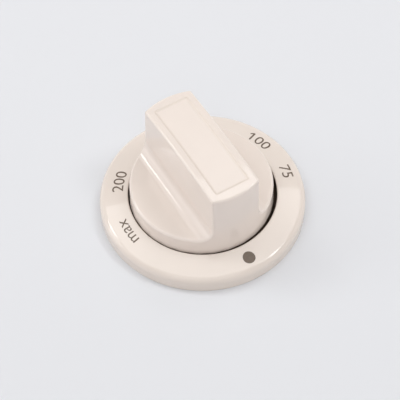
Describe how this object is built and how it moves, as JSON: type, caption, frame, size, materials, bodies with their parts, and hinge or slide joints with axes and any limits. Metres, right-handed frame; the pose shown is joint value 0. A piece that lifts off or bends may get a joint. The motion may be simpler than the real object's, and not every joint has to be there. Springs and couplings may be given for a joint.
{
  "type": "oven control knob",
  "caption": "Round appliance control knob with a finger bar across a drum, a sloping printed temperature ring clipped round its foot and a split hub for a D-shaped spindle.",
  "frame": {"origin": "on the spindle axis in the plane that the dial ring stands on", "axes": "+Z along the spindle axis towards the user, Y along the bar with the marked end at -Y"},
  "size_m": [0.065, 0.065, 0.0324],
  "materials": {
    "cream_plastic": "polished moulding",
    "spring_steel": "rolled spring strip",
    "print_ink": "brown grey pad print"
  },
  "bodies": {
    "root": {"grip_knob": "cream_plastic", "dial_ring": "cream_plastic", "hub_spring_ring": "spring_steel"}
  },
  "joints": []
}
